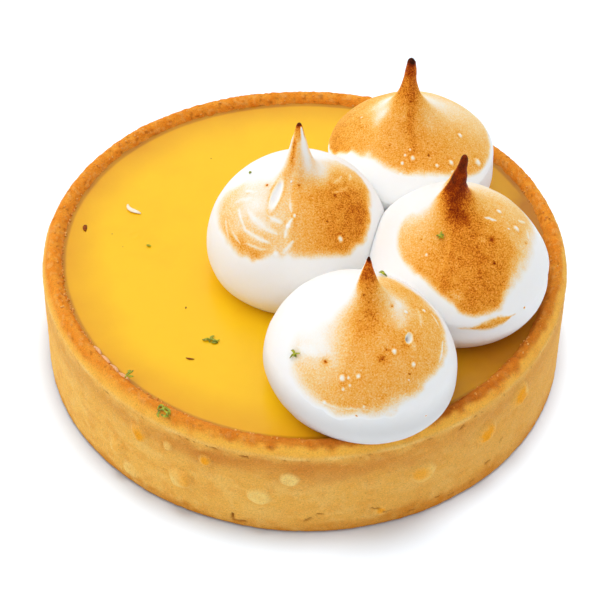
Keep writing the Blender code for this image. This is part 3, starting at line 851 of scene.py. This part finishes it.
def browning(kiss, azimuth, row, depth, noise):
    """How brown a kiss is: its tone above the reach of the flame, its patches, then its peak."""
    place = azimuth + 5 * noise.middle + 2 * noise.small
    level = row + 0.020 * noise.middle + 0.012 * noise.small
    reach, tone, fade = (
        np.interp(place, *zip(*kiss[key]), period=360) for key in ("reach", "tone", "fade")
    )
    toast_and_shade = tone * (1 - soft_step(level, reach - fade, reach + 0.5 * fade))
    for where, at, wide, tall, amount in kiss["patches"]:
        patch = amount * facing(place, where, wide) * bell(level, at, tall)
        toast_and_shade = toast_and_shade + np.where(patch > 0, patch, patch * toast_and_shade)
    depths, browns = zip(*kiss["peak"])
    peak = np.interp(depth + 0.3 * noise.small, depths, browns)
    near_tip = 1 - soft_step(depth, 0.6 * depths[-1], 1.1 * depths[-1])
    held = near_tip * np.maximum(soft_step(toast_and_shade, 0.0, 0.2), soft_step(peak, 0.75, 0.95))
    return toast_and_shade + (peak - toast_and_shade) * held


def add_pull(kiss, azimuth, row, radius, depth, toast_and_shade, noise):
    """Relief in mm of the paste, with the torn ring and the crease of the pull; and the browning."""
    crust = soft_step(toast_and_shade, 0.25, 0.95)
    relief = 0.10 * noise.broad + 0.05 * noise.middle + 0.012 * noise.small
    relief += crust * 0.05 * (noise.small + noise.fine)
    where, out = kiss["collar"]
    relief += out * (1 + 0.6 * noise.middle) * bell(depth, where, 0.7)
    where, first, last, out = kiss["seam"]
    along = np.radians(turn_from(azimuth + 6 * row, where)) * radius / MM + 0.25 * noise.middle
    held = soft_step(row, first, first + 0.06) * (1 - soft_step(row, last - 0.1, last))
    relief += held * out * (bell(along, 0, 0.5) - 0.6 * bell(along, -0.9, 0.6))
    toast_and_shade = toast_and_shade + held * 0.05 * bell(along, 0.6, 0.7) * soft_step(toast_and_shade, 0.1, 0.3)
    return relief, toast_and_shade


def add_lines(name, azimuth, row, rings, relief, toast_and_shade, noise):
    """Adds a kiss's streaks, and the folds near its foot, to its relief and browning."""
    bent = rings + MM * np.stack([0.35 * noise.middle, 0.10 * noise.small, -0.35 * noise.middle], axis=-1)
    for *start, end_azimuth, end_row, wide, amount in KISSES[name]["strokes"]:
        away = stroke_distance(name, bent, start, (end_azimuth, end_row)) / (0.55 * wide * MM)
        line = bell(away + 0.22 * noise.fine + 0.10 * noise.small, 0, 1) * (0.85 + 0.35 * noise.middle)
        relief = relief + 0.10 * line * min(wide, 0.6)
        # a negative amount browns the streak: partly painted shade beside raised white streaks
        toast_and_shade = toast_and_shade * (1 - amount * line) if amount > 0 else np.maximum(toast_and_shade, -amount * line)
    for where, at in KISSES[name].get("folds", ()):
        turn = turn_from(azimuth, where)
        step = (row - at - 0.010 * np.cos(np.radians(turn * 2))) / 0.030
        held = 1 - soft_step(np.abs(turn), 35, 70)
        relief = relief + held * (0.16 * bell(step, 1.5, math.sqrt(2)) - 0.14 * bell(step, 0, 1))
    return relief, toast_and_shade


def add_holes(name, row, rings, relief, toast_and_shade):
    """Adds a kiss's bubbles, pits and holes, and keeps its browning between its least and 1."""
    kiss = KISSES[name]
    for where, at, size in kiss["bubbles"]:
        away = oval_distance(name, rings, where, at, 0.42 * size * MM, 0.52 * size * MM)
        relief = relief + 0.16 * size * bell(away, 0, 1) - 0.05 * bell(away, 1.5, 0.4)
        browner = 0.06 * bell(away, 1.6, 0.4) * (toast_and_shade > 0.2)
        toast_and_shade = toast_and_shade * (1 - 0.78 * np.exp(-(away**3))) + browner
    for where, at, size in kiss["pits"]:
        away = oval_distance(name, rings, where, at, 0.5 * size * MM, 0.5 * size * MM)
        relief = relief - 0.30 * size * bell(away, 0, 1)
        toast_and_shade = toast_and_shade + 0.22 * bell(away, 0, 2) * soft_step(toast_and_shade, 0.05, 0.2)
        toast_and_shade = np.maximum(toast_and_shade, (1.05 - 0.35 * size) * bell(away, 0, 1))
    # the browning starts a little above 0, where the paste is white; painted shade greys it near the
    # foot, down to 0
    least = 0.045 * (1 - kiss["foot_shade"] * soft_step(row, 0.82, 1.02)) * np.ones_like(toast_and_shade)
    for where, at, wide, tall, slant, deep, grey in kiss.get("holes", ()):
        away = oval_distance(name, rings, where, at, 0.5 * wide * MM, 0.5 * tall * MM, slant)
        relief = relief + 0.12 * bell(away, 1.25, 0.3) - deep * np.exp(-(away**3.5))
        toast_and_shade = toast_and_shade * (1 - np.exp(-((away / 1.4) ** 4))) + 0.10 * bell(away, 1.7, 0.4)
        # painted shade: the inside of a hole greys towards 0
        least *= 1 - grey * np.exp(-((away / 0.85) ** 6))
    return relief, np.clip(toast_and_shade, least, 1)


def make_kiss(name, seed):
    """One kiss on a grid of azimuth and row, with its browning and painted shade stored as
    toast_and_shade.

    Rows run over the dome, down the skirt and over the flat sole.
    """
    kiss = KISSES[name]
    azimuth = np.linspace(FIRST_AZIMUTH, FIRST_AZIMUTH + 360, AROUND_KISS, endpoint=False)
    dome_rows = np.arange(1, DOME_ROWS + 1) / DOME_ROWS
    skirt_rows = 1 + SKIRT_SPAN * np.arange(1, SKIRT_ROWS + 1) / SKIRT_ROWS
    row = np.concatenate([dome_rows, skirt_rows])
    radius, height = kiss_section(kiss, row)
    sole = radius[-1] * (1 - (np.arange(1, SOLE_ROWS) / SOLE_ROWS) ** 1.6)
    radius = np.concatenate([radius, sole])[:, None]
    height = np.concatenate([height, np.full(SOLE_ROWS - 1, height[-1])])[:, None]
    row = np.concatenate([row, np.full(SOLE_ROWS - 1, SOLE_ROW)])[:, None]
    rings = on_kiss(name, azimuth, radius, height)
    normals = ring_normals(rings)
    noise = noises(
        broad=(rings, 7, seed), middle=(rings, 2.6, seed + 1), small=(rings, 0.9, seed + 2),
        fine=(rings, 0.45, seed + 3),
    )

    depth = kiss["tip_height"] - height / MM
    toast_and_shade = browning(kiss, azimuth, row, depth, noise)
    relief, toast_and_shade = add_pull(kiss, azimuth, row, radius, depth, toast_and_shade, noise)
    relief, toast_and_shade = add_lines(name, azimuth, row, rings, relief, toast_and_shade, noise)
    relief, toast_and_shade = add_holes(name, row, rings, relief, toast_and_shade)

    shown = soft_step(row, 0.0, 0.05) * (1 - soft_step(row, 1.25, 1.32))  # no relief at the tip and sole
    rings = rings + normals * (relief * shown)[..., None] * MM
    tip = (np.array([*kiss["centre"], 0]) + [*kiss["lean"], 0]) * MM
    tip[2] = KISS_BASE + kiss["tip_height"] * MM
    under = (*(np.array(kiss["centre"]) * MM), rings[-1, 0, 2])
    piece = surface(name + "_piped", *ring_mesh(rings, tip, under))
    keep_value(piece, "toast_and_shade", toast_and_shade, (1, 0))
    return piece


def torched_meringue():
    """Meringue: white and satin, browning through gold to black by toast_and_shade, stippled by fine
    bubbles, and grey at 0 for painted shade.
    """
    finish, tree, shader = new_finish(
        "torched_meringue", Specular_IOR_Level=0.05, Subsurface_Weight=0.8,
        Subsurface_Radius=(1.0, 0.9, 0.8), Subsurface_Scale=1.6 * MM,
    )
    toast_and_shade = stored(tree, "toast_and_shade")
    # the browning varies by grains, most in the golden parts, and by softer blotches
    grain = maths(tree, "ADD", speckle(tree, 0.24 * MM, 3.0, 0.7), -0.5)
    amount = ramp(tree, toast_and_shade, ((0.05, 0.0), (0.18, 0.35), (0.5, 0.90), (0.75, 0.75), (0.9, 0.35)))
    grained = maths(tree, "MULTIPLY_ADD", grain, amount, toast_and_shade)
    spread = maths(tree, "MULTIPLY_ADD", speckle(tree, 1.5 * MM), 0.35, 0.825)
    browned = maths(tree, "MULTIPLY", grained, spread)
    # at 0 the ramp is grey: painted shade near the foot and inside holes
    colour = ramp(tree, browned, (
        (0.00, (0.72, 0.71, 0.695)), (0.04, (0.93, 0.93, 0.925)), (0.10, (0.92, 0.88, 0.82)),
        (0.17, (0.92, 0.79, 0.62)), (0.29, (0.93, 0.64, 0.29)), (0.42, (0.91, 0.47, 0.095)),
        (0.56, (0.83, 0.33, 0.024)), (0.70, (0.52, 0.110, 0.003)), (0.82, (0.26, 0.030, 0.001)),
        (0.98, (0.030, 0.007, 0.003)),
    ))
    tree.links.new(colour, shader.inputs["Base Color"])
    rough = ramp(tree, toast_and_shade, ((0.0, 0.46), (0.5, 0.62), (1.0, 0.55)))
    tree.links.new(rough, shader.inputs["Roughness"])
    bumpy(tree, shader, speckle(tree, 0.4 * MM, 2.0), 0.035 * MM)
    return finish


meringue = torched_meringue()
for number, kiss_name in enumerate(KISSES):
    kiss = make_kiss(kiss_name, 50 + 10 * number)
    kiss.data.materials.append(meringue)
    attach(kiss, "root")
    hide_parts(kiss_name)

# ---------------------------------------------------------------------------------------------
# Crumbs: grains of the same shortcrust, loosened when the rim was trimmed. They lie on the rim's
# inner slope and, more closely, in a line where the curd meets it. Pale strips along part of that line
# are a painted highlight on the wet edge of the curd.

CRUMBS_ON_RIM = 260
SECTION_STEPS = 40
CRUMB_SPAN = (0.50, 0.97)  # part of the rim's cross-section they lie on, from its outer edge
CRUMBS_IN_LINE = 190
LINE_SPAN = (-195.0, -118.0)  # azimuths of the line at the curd's edge
CRUMB_SIZES = (0.09 * MM, 0.20 * MM)
CRUMB_DARK = (0.78, 0.27, 0.025)
CRUMB_PALE = (0.93, 0.50, 0.14)
HIGHLIGHT_SPAN = (-146.0, -133.0)  # pale strips along the same line: a painted highlight on the wet edge of the curd
HIGHLIGHT_TINT = (0.88, 0.50, 0.25)


def bezier(points, count):
    """A smooth curve from the first point to the last, drawn towards those between."""
    t = np.linspace(0, 1, count)[:, None]
    last = len(points) - 1
    return sum(
        math.comb(last, i) * (1 - t) ** (last - i) * t**i * np.asarray(point)
        for i, point in enumerate(points)
    )


def strand(points, width, thickness):
    """A strip along a curve: an ellipse carried along it, flat side up, tapering to both ends."""
    curve = bezier(points, 9)
    ahead = np.gradient(curve, axis=0)
    side = np.cross(ahead, (0, 0, 1))
    up = np.cross(side, ahead)
    side /= np.linalg.norm(side, axis=1, keepdims=True)
    up /= np.linalg.norm(up, axis=1, keepdims=True)
    turn = np.linspace(0, 2 * np.pi, 8, endpoint=False)[:, None]
    taper = 0.3 + 0.7 * np.sin(np.pi * np.linspace(0.04, 0.96, 9))
    flat = width * np.cos(turn) * side[:, None] + thickness * np.sin(turn) * up[:, None]
    return ring_mesh(curve[:, None] + 0.5 * taper[:, None, None] * flat, curve[0], curve[-1])


def lump(centre, sizes, random):
    """A low-sided ball of three rings, stretched to its sizes, with each corner nudged."""
    down = np.radians([40, 90, 140])[:, None]
    turn = np.linspace(0, 2 * np.pi, 6, endpoint=False) + random.uniform(0, 6)
    rings = polar(np.sin(down), turn, np.cos(down))
    rings = centre + rings * random.uniform(0.75, 1.25, (3, 6, 1)) * sizes
    return ring_mesh(rings, centre + (0, 0, sizes[2]), centre - (0, 0, sizes[2]))


def joined(name, parts):
    """One object made of several closed surfaces."""
    starts = np.cumsum([0] + [len(points) for points, _ in parts[:-1]])
    faces = [face + start for (_, face), start in zip(parts, starts)]
    return surface(name, np.vstack([points for points, _ in parts]), np.vstack(faces))


def clear_of_kisses(x, y):
    """Whether points in plan are outside the bellies of all kisses."""
    clear = np.full(np.shape(x), True)
    for kiss in KISSES.values():
        away = np.hypot(x / MM - kiss["centre"][0], y / MM - kiss["centre"][1])
        clear &= away > kiss["belly"] + 0.3
    return clear


def make_crumbs():
    """The scattered crumbs, and pale strips of painted highlight on the curd's wet edge, joined, each
    with its own tint.
    """
    random = np.random.default_rng(7)
    section = rim_section(SECTION_STEPS)
    along = random.uniform(*CRUMB_SPAN, CRUMBS_ON_RIM) * SECTION_STEPS
    angle = random.uniform(0, 2 * np.pi, CRUMBS_ON_RIM)
    radius, height = (np.interp(along, range(SECTION_STEPS + 1), part) for part in section.T)
    line = np.radians(random.uniform(*LINE_SPAN, CRUMBS_IN_LINE))
    angle = np.concatenate([angle, line])
    radius = np.concatenate([radius, CURD_EDGE - random.uniform(0.1, 0.5, CRUMBS_IN_LINE) * MM])
    height = np.concatenate([height, CURD_HEIGHT + random.uniform(0.1, 0.35, CRUMBS_IN_LINE) * MM])
    places = polar(radius + sway(angle, height), angle, height)
    places = places[clear_of_kisses(places[:, 0], places[:, 1])]
    parts, tints = [], []
    for place in places:
        part = lump(place, random.uniform(*CRUMB_SIZES) * random.uniform(0.8, 1.3, 3), random)
        shade = random.uniform(0, 1)
        parts.append(part)
        tint = lay_on(np.array(CRUMB_DARK), CRUMB_PALE, shade)
        tints.append(np.tile(tint, (len(part[0]), 1)))
    # pale strips: a painted highlight on the wet edge of the curd
    for first in np.arange(*HIGHLIGHT_SPAN, 3.4):
        angle = np.radians(np.linspace(first, first + 3.0, 4))
        radius = CURD_EDGE - 0.40 * MM + random.uniform(-0.1, 0.1, 4) * MM + sway(angle, CURD_HEIGHT)
        part = strand(polar(radius, angle, CURD_HEIGHT + 0.30 * MM), 0.85 * MM, 0.40 * MM)
        parts.append(part)
        tints.append(np.tile(HIGHLIGHT_TINT, (len(part[0]), 1)))
    crumbs_and_highlight = joined("crumbs_and_highlight", parts)
    keep_colour(crumbs_and_highlight, "tint", np.vstack(tints))
    return crumbs_and_highlight


crumbs_and_highlight = make_crumbs()
crumbs_and_highlight.data.materials.append(pastry)
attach(crumbs_and_highlight, "root")

# ---------------------------------------------------------------------------------------------
# Lime zest: fine shreds of green peel, grated over the finished pie, lying singly and in small
# tangles on the curd, the rim and the kisses.

ZEST_WIDTH = 0.46 * MM
ZEST_THICKNESS = 0.26 * MM
ZEST_LIGHT = (0.48, 0.49, 0.006)
ZEST_DARK = (0.11, 0.16, 0.002)
# each tangle: what it lies on and where, then its shreds as points in mm to the right, towards the
# front or down the slope, and up
ZEST = (
    ("curd", (-14.4, -19.8), (
        ((-1.3, -0.2, 0.0), (-0.9, 0.6, 0.3), (-0.5, -0.9, 0.3), (-0.1, 0.5, 0.0)),
        ((-0.3, 0.2, 0.0), (0.2, -0.9, 0.3), (0.6, 1.0, 0.2), (1.3, -0.1, 0.1)),
        ((0.1, 0.3, 0.0), (0.5, 0.7, 0.2), (1.1, 0.4, 0.0)),
        ((-0.1, 0.0, 0.1), (0.0, -0.6, 0.3), (0.5, -0.8, 0.2)),
    )),
    ("curd", (-25.6, 1.3), (((-0.35, -0.15, 0.0), (0.0, 0.1, 0.15), (0.4, 0.1, 0.0)),)),
    ("rim", (-26.2, -28.7), (
        ((-0.6, 0.6, 0.0), (-0.4, -0.1, 0.4), (0.2, -0.1, 0.4), (0.5, -0.8, 0.2)),
        ((-0.3, 0.1, 0.1), (0.1, 0.6, 0.3), (0.6, 0.3, 0.1)),
        ((0.0, -0.2, 0.2), (-0.3, -0.7, 0.3), (0.1, -0.9, 0.1)),
    )),
    ("rim", (-20.5, -36.0), (
        ((-1.0, -0.5, 0.0), (-0.7, -1.4, 0.5), (-0.1, -1.2, 0.5), (-0.1, -0.3, 0.2)),
        ((-0.9, 0.0, 0.1), (-0.2, -0.8, 0.5), (0.3, 0.3, 0.3)),
        ((-0.4, 0.4, 0.1), (0.0, 1.2, 0.4), (0.8, 0.9, 0.1)),
        ((0.1, -0.5, 0.2), (0.8, -0.5, 0.5), (0.9, 0.5, 0.1)),
        ((0.1, 0.1, 0.3), (0.9, 0.3, 0.5), (0.3, 1.1, 0.1)),
        ((-0.5, 0.1, 0.2), (-1.1, 0.4, 0.3), (-0.7, 1.0, 0.0)),
        ((-0.2, -0.2, 0.4), (0.3, -0.9, 0.6), (0.5, -0.2, 0.3)),
    )),
    ("kiss_front", (-148, 0.70), (
        ((-0.3, 1.1, 0.0), (-0.2, 0.4, 0.2), (0.0, 0.0, 0.3), (0.8, -0.7, 0.1)),
        ((-0.9, 0.1, 0.0), (-0.4, -0.4, 0.3), (0.1, 0.0, 0.2)),
        ((0.0, 0.3, 0.1), (0.3, 0.0, 0.3), (0.6, 0.2, 0.0)),
    )),
    ("kiss_front", (66, 0.46), (
        ((-0.7, 0.0, 0.0), (-0.1, -0.5, 0.5), (0.7, 0.1, 0.2)),
        ((-0.2, 0.1, 0.1), (0.2, 0.4, 0.5), (0.6, 0.3, 0.3)),
    )),
    ("kiss_right", (-118, 0.40), (
        ((-0.7, 0.2, 0.0), (-0.2, -0.2, 0.3), (0.5, 0.2, 0.0)),
        ((-0.2, 0.5, 0.0), (0.1, 0.0, 0.3), (0.0, -0.7, 0.1)),
        ((0.0, 0.1, 0.1), (0.3, -0.4, 0.3), (0.5, -0.2, 0.0)),
    )),
    ("kiss_left", (-194, 0.47), (((-0.25, 0.0, 0.0), (0.0, -0.1, 0.15), (0.25, 0.1, 0.0)),)),
)


def lying_frame(ground, place):
    """Where something lies, and its right, forward and upward directions: on a kiss, or in plan."""
    if ground in KISSES:
        return kiss_frame(ground, *place)
    x, y = place[0] * MM, place[1] * MM
    height = CURD_HEIGHT if ground == "curd" else float(rest_height(x, y))
    return np.array([x, y, height]), np.array([1, 0, 0]), np.array([0, -1, 0]), np.array([0, 0, 1])


def lying_strand(ground, place, points, width, thickness):
    """A strip whose points are given from where it lies, resting half its thickness above."""
    here, *directions = lying_frame(ground, place)
    path = here + np.array(points) @ directions * MM + 0.45 * thickness * directions[2]
    return strand(path, width, thickness)


def mottled(name, dark, light, size, **sockets):
    """A material whose colour wanders between two tints in patches about size across."""
    finish, tree, shader = new_finish(name, **sockets)
    pattern = speckle(tree, size, 3.0, 0.6)
    colour = ramp(tree, pattern, ((0.35, dark), (0.62, light)))
    tree.links.new(colour, shader.inputs["Base Color"])
    bumpy(tree, shader, pattern, 0.05 * MM)
    return finish


zest = joined("lime_zest", [
    lying_strand(ground, place, points, ZEST_WIDTH, ZEST_THICKNESS)
    for ground, place, shreds in ZEST for points in shreds
])
zest.data.materials.append(mottled(
    "lime_peel", ZEST_DARK, ZEST_LIGHT, 0.5 * MM,
    Roughness=0.45, Subsurface_Weight=0.2, Subsurface_Scale=0.3 * MM,
))
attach(zest, "root")

# ---------------------------------------------------------------------------------------------
# Flecks: bits of caramelised pastry that fell on the set curd, a dark splinter, an oval fleck and
# a few specks no larger than ground spice.

FLECK_DARK = (0.14, 0.022, 0.001)
FLECK_LIGHT = (0.34, 0.075, 0.002)
# in mm: x and y, then half the length along x, y and z
FLECKS = (
    (-36.4, 5.3, 0.48, 0.90, 0.20), (-18.7, -12.7, 0.12, 0.24, 0.08), (-31.8, 4.0, 0.10, 0.12, 0.05),
    (-14.0, 12.5, 0.13, 0.15, 0.05), (-14.6, -3.2, 0.10, 0.11, 0.05), (-29.8, 1.0, 0.08, 0.10, 0.04),
    (-16.5, 23.5, 0.10, 0.12, 0.05),
)
SPLINTER_PLACE = (-17.4, -23.7)
SPLINTER = ((-0.65, -0.15, 0.0), (-0.1, 0.20, 0.1), (0.65, 0.10, 0.0))

random = np.random.default_rng(9)
flecks = joined("caramelised_flecks", [
    lying_strand("curd", SPLINTER_PLACE, SPLINTER, 0.34 * MM, 0.18 * MM),
    *(
        lump(np.array([x, y, CURD_HEIGHT / MM + 0.03]) * MM, np.array(sizes) * MM, random)
        for x, y, *sizes in FLECKS
    ),
])
flecks.data.materials.append(mottled(
    "caramelised_crumb", FLECK_DARK, FLECK_LIGHT, 0.4 * MM, Roughness=0.6, Specular_IOR_Level=0.2
))
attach(flecks, "root")

# ---------------------------------------------------------------------------------------------
# A flake of dried meringue: a thin curved sliver, cream white, that lies loose on the curd.

FLAKE_DARK = (0.90, 0.76, 0.52)
FLAKE_LIGHT = (0.95, 0.90, 0.80)
FLAKE_PLACE = (-28.7, 9.7)
FLAKE_PATH = ((-1.1, -1.4, 0.1), (-1.0, 0.3, 0.2), (0.3, 0.2, 0.2), (1.2, 0.8, 0.1))
sliver = lying_strand("curd", FLAKE_PLACE, FLAKE_PATH, 0.85 * MM, 0.30 * MM)
flake = joined("meringue_flake", [sliver])
flake.data.materials.append(mottled("dried_meringue", FLAKE_DARK, FLAKE_LIGHT, 0.6 * MM, Roughness=0.5))
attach(flake, "root")

# ---------------------------------------------------------------------------------------------
# Table, light and camera: a plain white table, one large soft lamp high on the left, a smaller one
# overhead that lights only the table, and a pale room that is brighter behind and above.

TABLE_HALF = 3.0
TABLE_TINT = (0.80, 0.895, 1.0)
TABLE_LIGHT = (0.82, 0.90, 0.99)
ROOM_DARK = (0.52, 0.49, 0.46)
ROOM_BRIGHT = (0.92, 0.92, 0.92)
ROOM_BRIGHT_SIDE = (0.10, 0.50, 0.82)
LAMP_PLACE = (-0.58, 0.06, 1.04)
LAMP_SIZE = 1.5
LAMP_WATTS = 7.5
TABLE_LAMP_PLACE = (0.0, 0.10, 1.3)
TABLE_LAMP_SIZE = 0.45
TABLE_LAMP_WATTS = 10.9

corners = np.array([(-1, -1, 0), (1, -1, 0), (1, 1, 0), (-1, 1, 0)]) * TABLE_HALF
table = surface("table", corners, np.array([[0, 1, 2, 3]]))
white, white_tree, white_shader = new_finish("white_table", Roughness=0.9, Specular_IOR_Level=0.1)
shade = ramp(white_tree, speckle(white_tree, 40 * MM), ((0.3, TABLE_TINT), (0.7, TABLE_LIGHT)))
white_tree.links.new(shade, white_shader.inputs["Base Color"])
table.data.materials.append(white)

room = bpy.data.worlds.new("pale_room")
room.use_nodes = True
direction = node(room.node_tree, "ShaderNodeTexCoord").outputs["Generated"]
bright_side = Vector(ROOM_BRIGHT_SIDE).normalized()
towards = node(
    room.node_tree, "ShaderNodeVectorMath", operation="DOT_PRODUCT", inputs={0: direction, 1: bright_side}
).outputs["Value"]
glow = ramp(room.node_tree, towards, ((0.0, ROOM_DARK), (0.9, ROOM_BRIGHT)))
room.node_tree.links.new(glow, room.node_tree.nodes["Background"].inputs["Color"])
bpy.context.scene.world = room


def add_lamp(name, place, size, watts):
    """A round soft lamp that faces the middle of the table."""
    data = bpy.data.lights.new(name, "AREA")
    data.shape, data.size, data.energy = "DISK", size, watts
    made = bpy.data.objects.new(name, data)
    made.location = place
    made.rotation_euler = (-Vector(place)).to_track_quat("-Z", "Y").to_euler()
    bpy.context.collection.objects.link(made)
    return made


# The key lamp lights the pie and the overhead lamp only the table, which keeps the table white
# and its shadow close round the pie.
key_lamp = add_lamp("key_lamp", LAMP_PLACE, LAMP_SIZE, LAMP_WATTS)
not_table = bpy.data.collections.new("all_but_the_table")
not_table.objects.link(table)
not_table.collection_objects[0].light_linking.link_state = "EXCLUDE"
key_lamp.light_linking.receiver_collection = not_table
table_lamp = add_lamp("table_lamp", TABLE_LAMP_PLACE, TABLE_LAMP_SIZE, TABLE_LAMP_WATTS)
only_table = bpy.data.collections.new("only_the_table")
only_table.objects.link(table)
table_lamp.light_linking.receiver_collection = only_table

CAMERA_TARGET = Vector((-0.731, 0, 7.676)) * MM
CAMERA_DISTANCE = 300.16 * MM
CAMERA_ELEVATION = math.radians(44.955)
CAMERA_ROLL = math.radians(1.17)
camera_data = bpy.data.cameras.new("camera")
camera_data.lens = 108
camera_data.sensor_width = 36
camera_data.clip_start = 0.01
camera = bpy.data.objects.new("camera", camera_data)
back = Vector((0, -math.cos(CAMERA_ELEVATION), math.sin(CAMERA_ELEVATION)))
camera.matrix_world = (
    Matrix.Translation(CAMERA_TARGET + back * CAMERA_DISTANCE)
    @ Matrix.Rotation(math.radians(90) - CAMERA_ELEVATION, 4, "X")
    @ Matrix.Rotation(CAMERA_ROLL, 4, "Z")
)
bpy.context.collection.objects.link(camera)
bpy.context.scene.camera = camera
bpy.context.scene.view_settings.view_transform = "Standard"
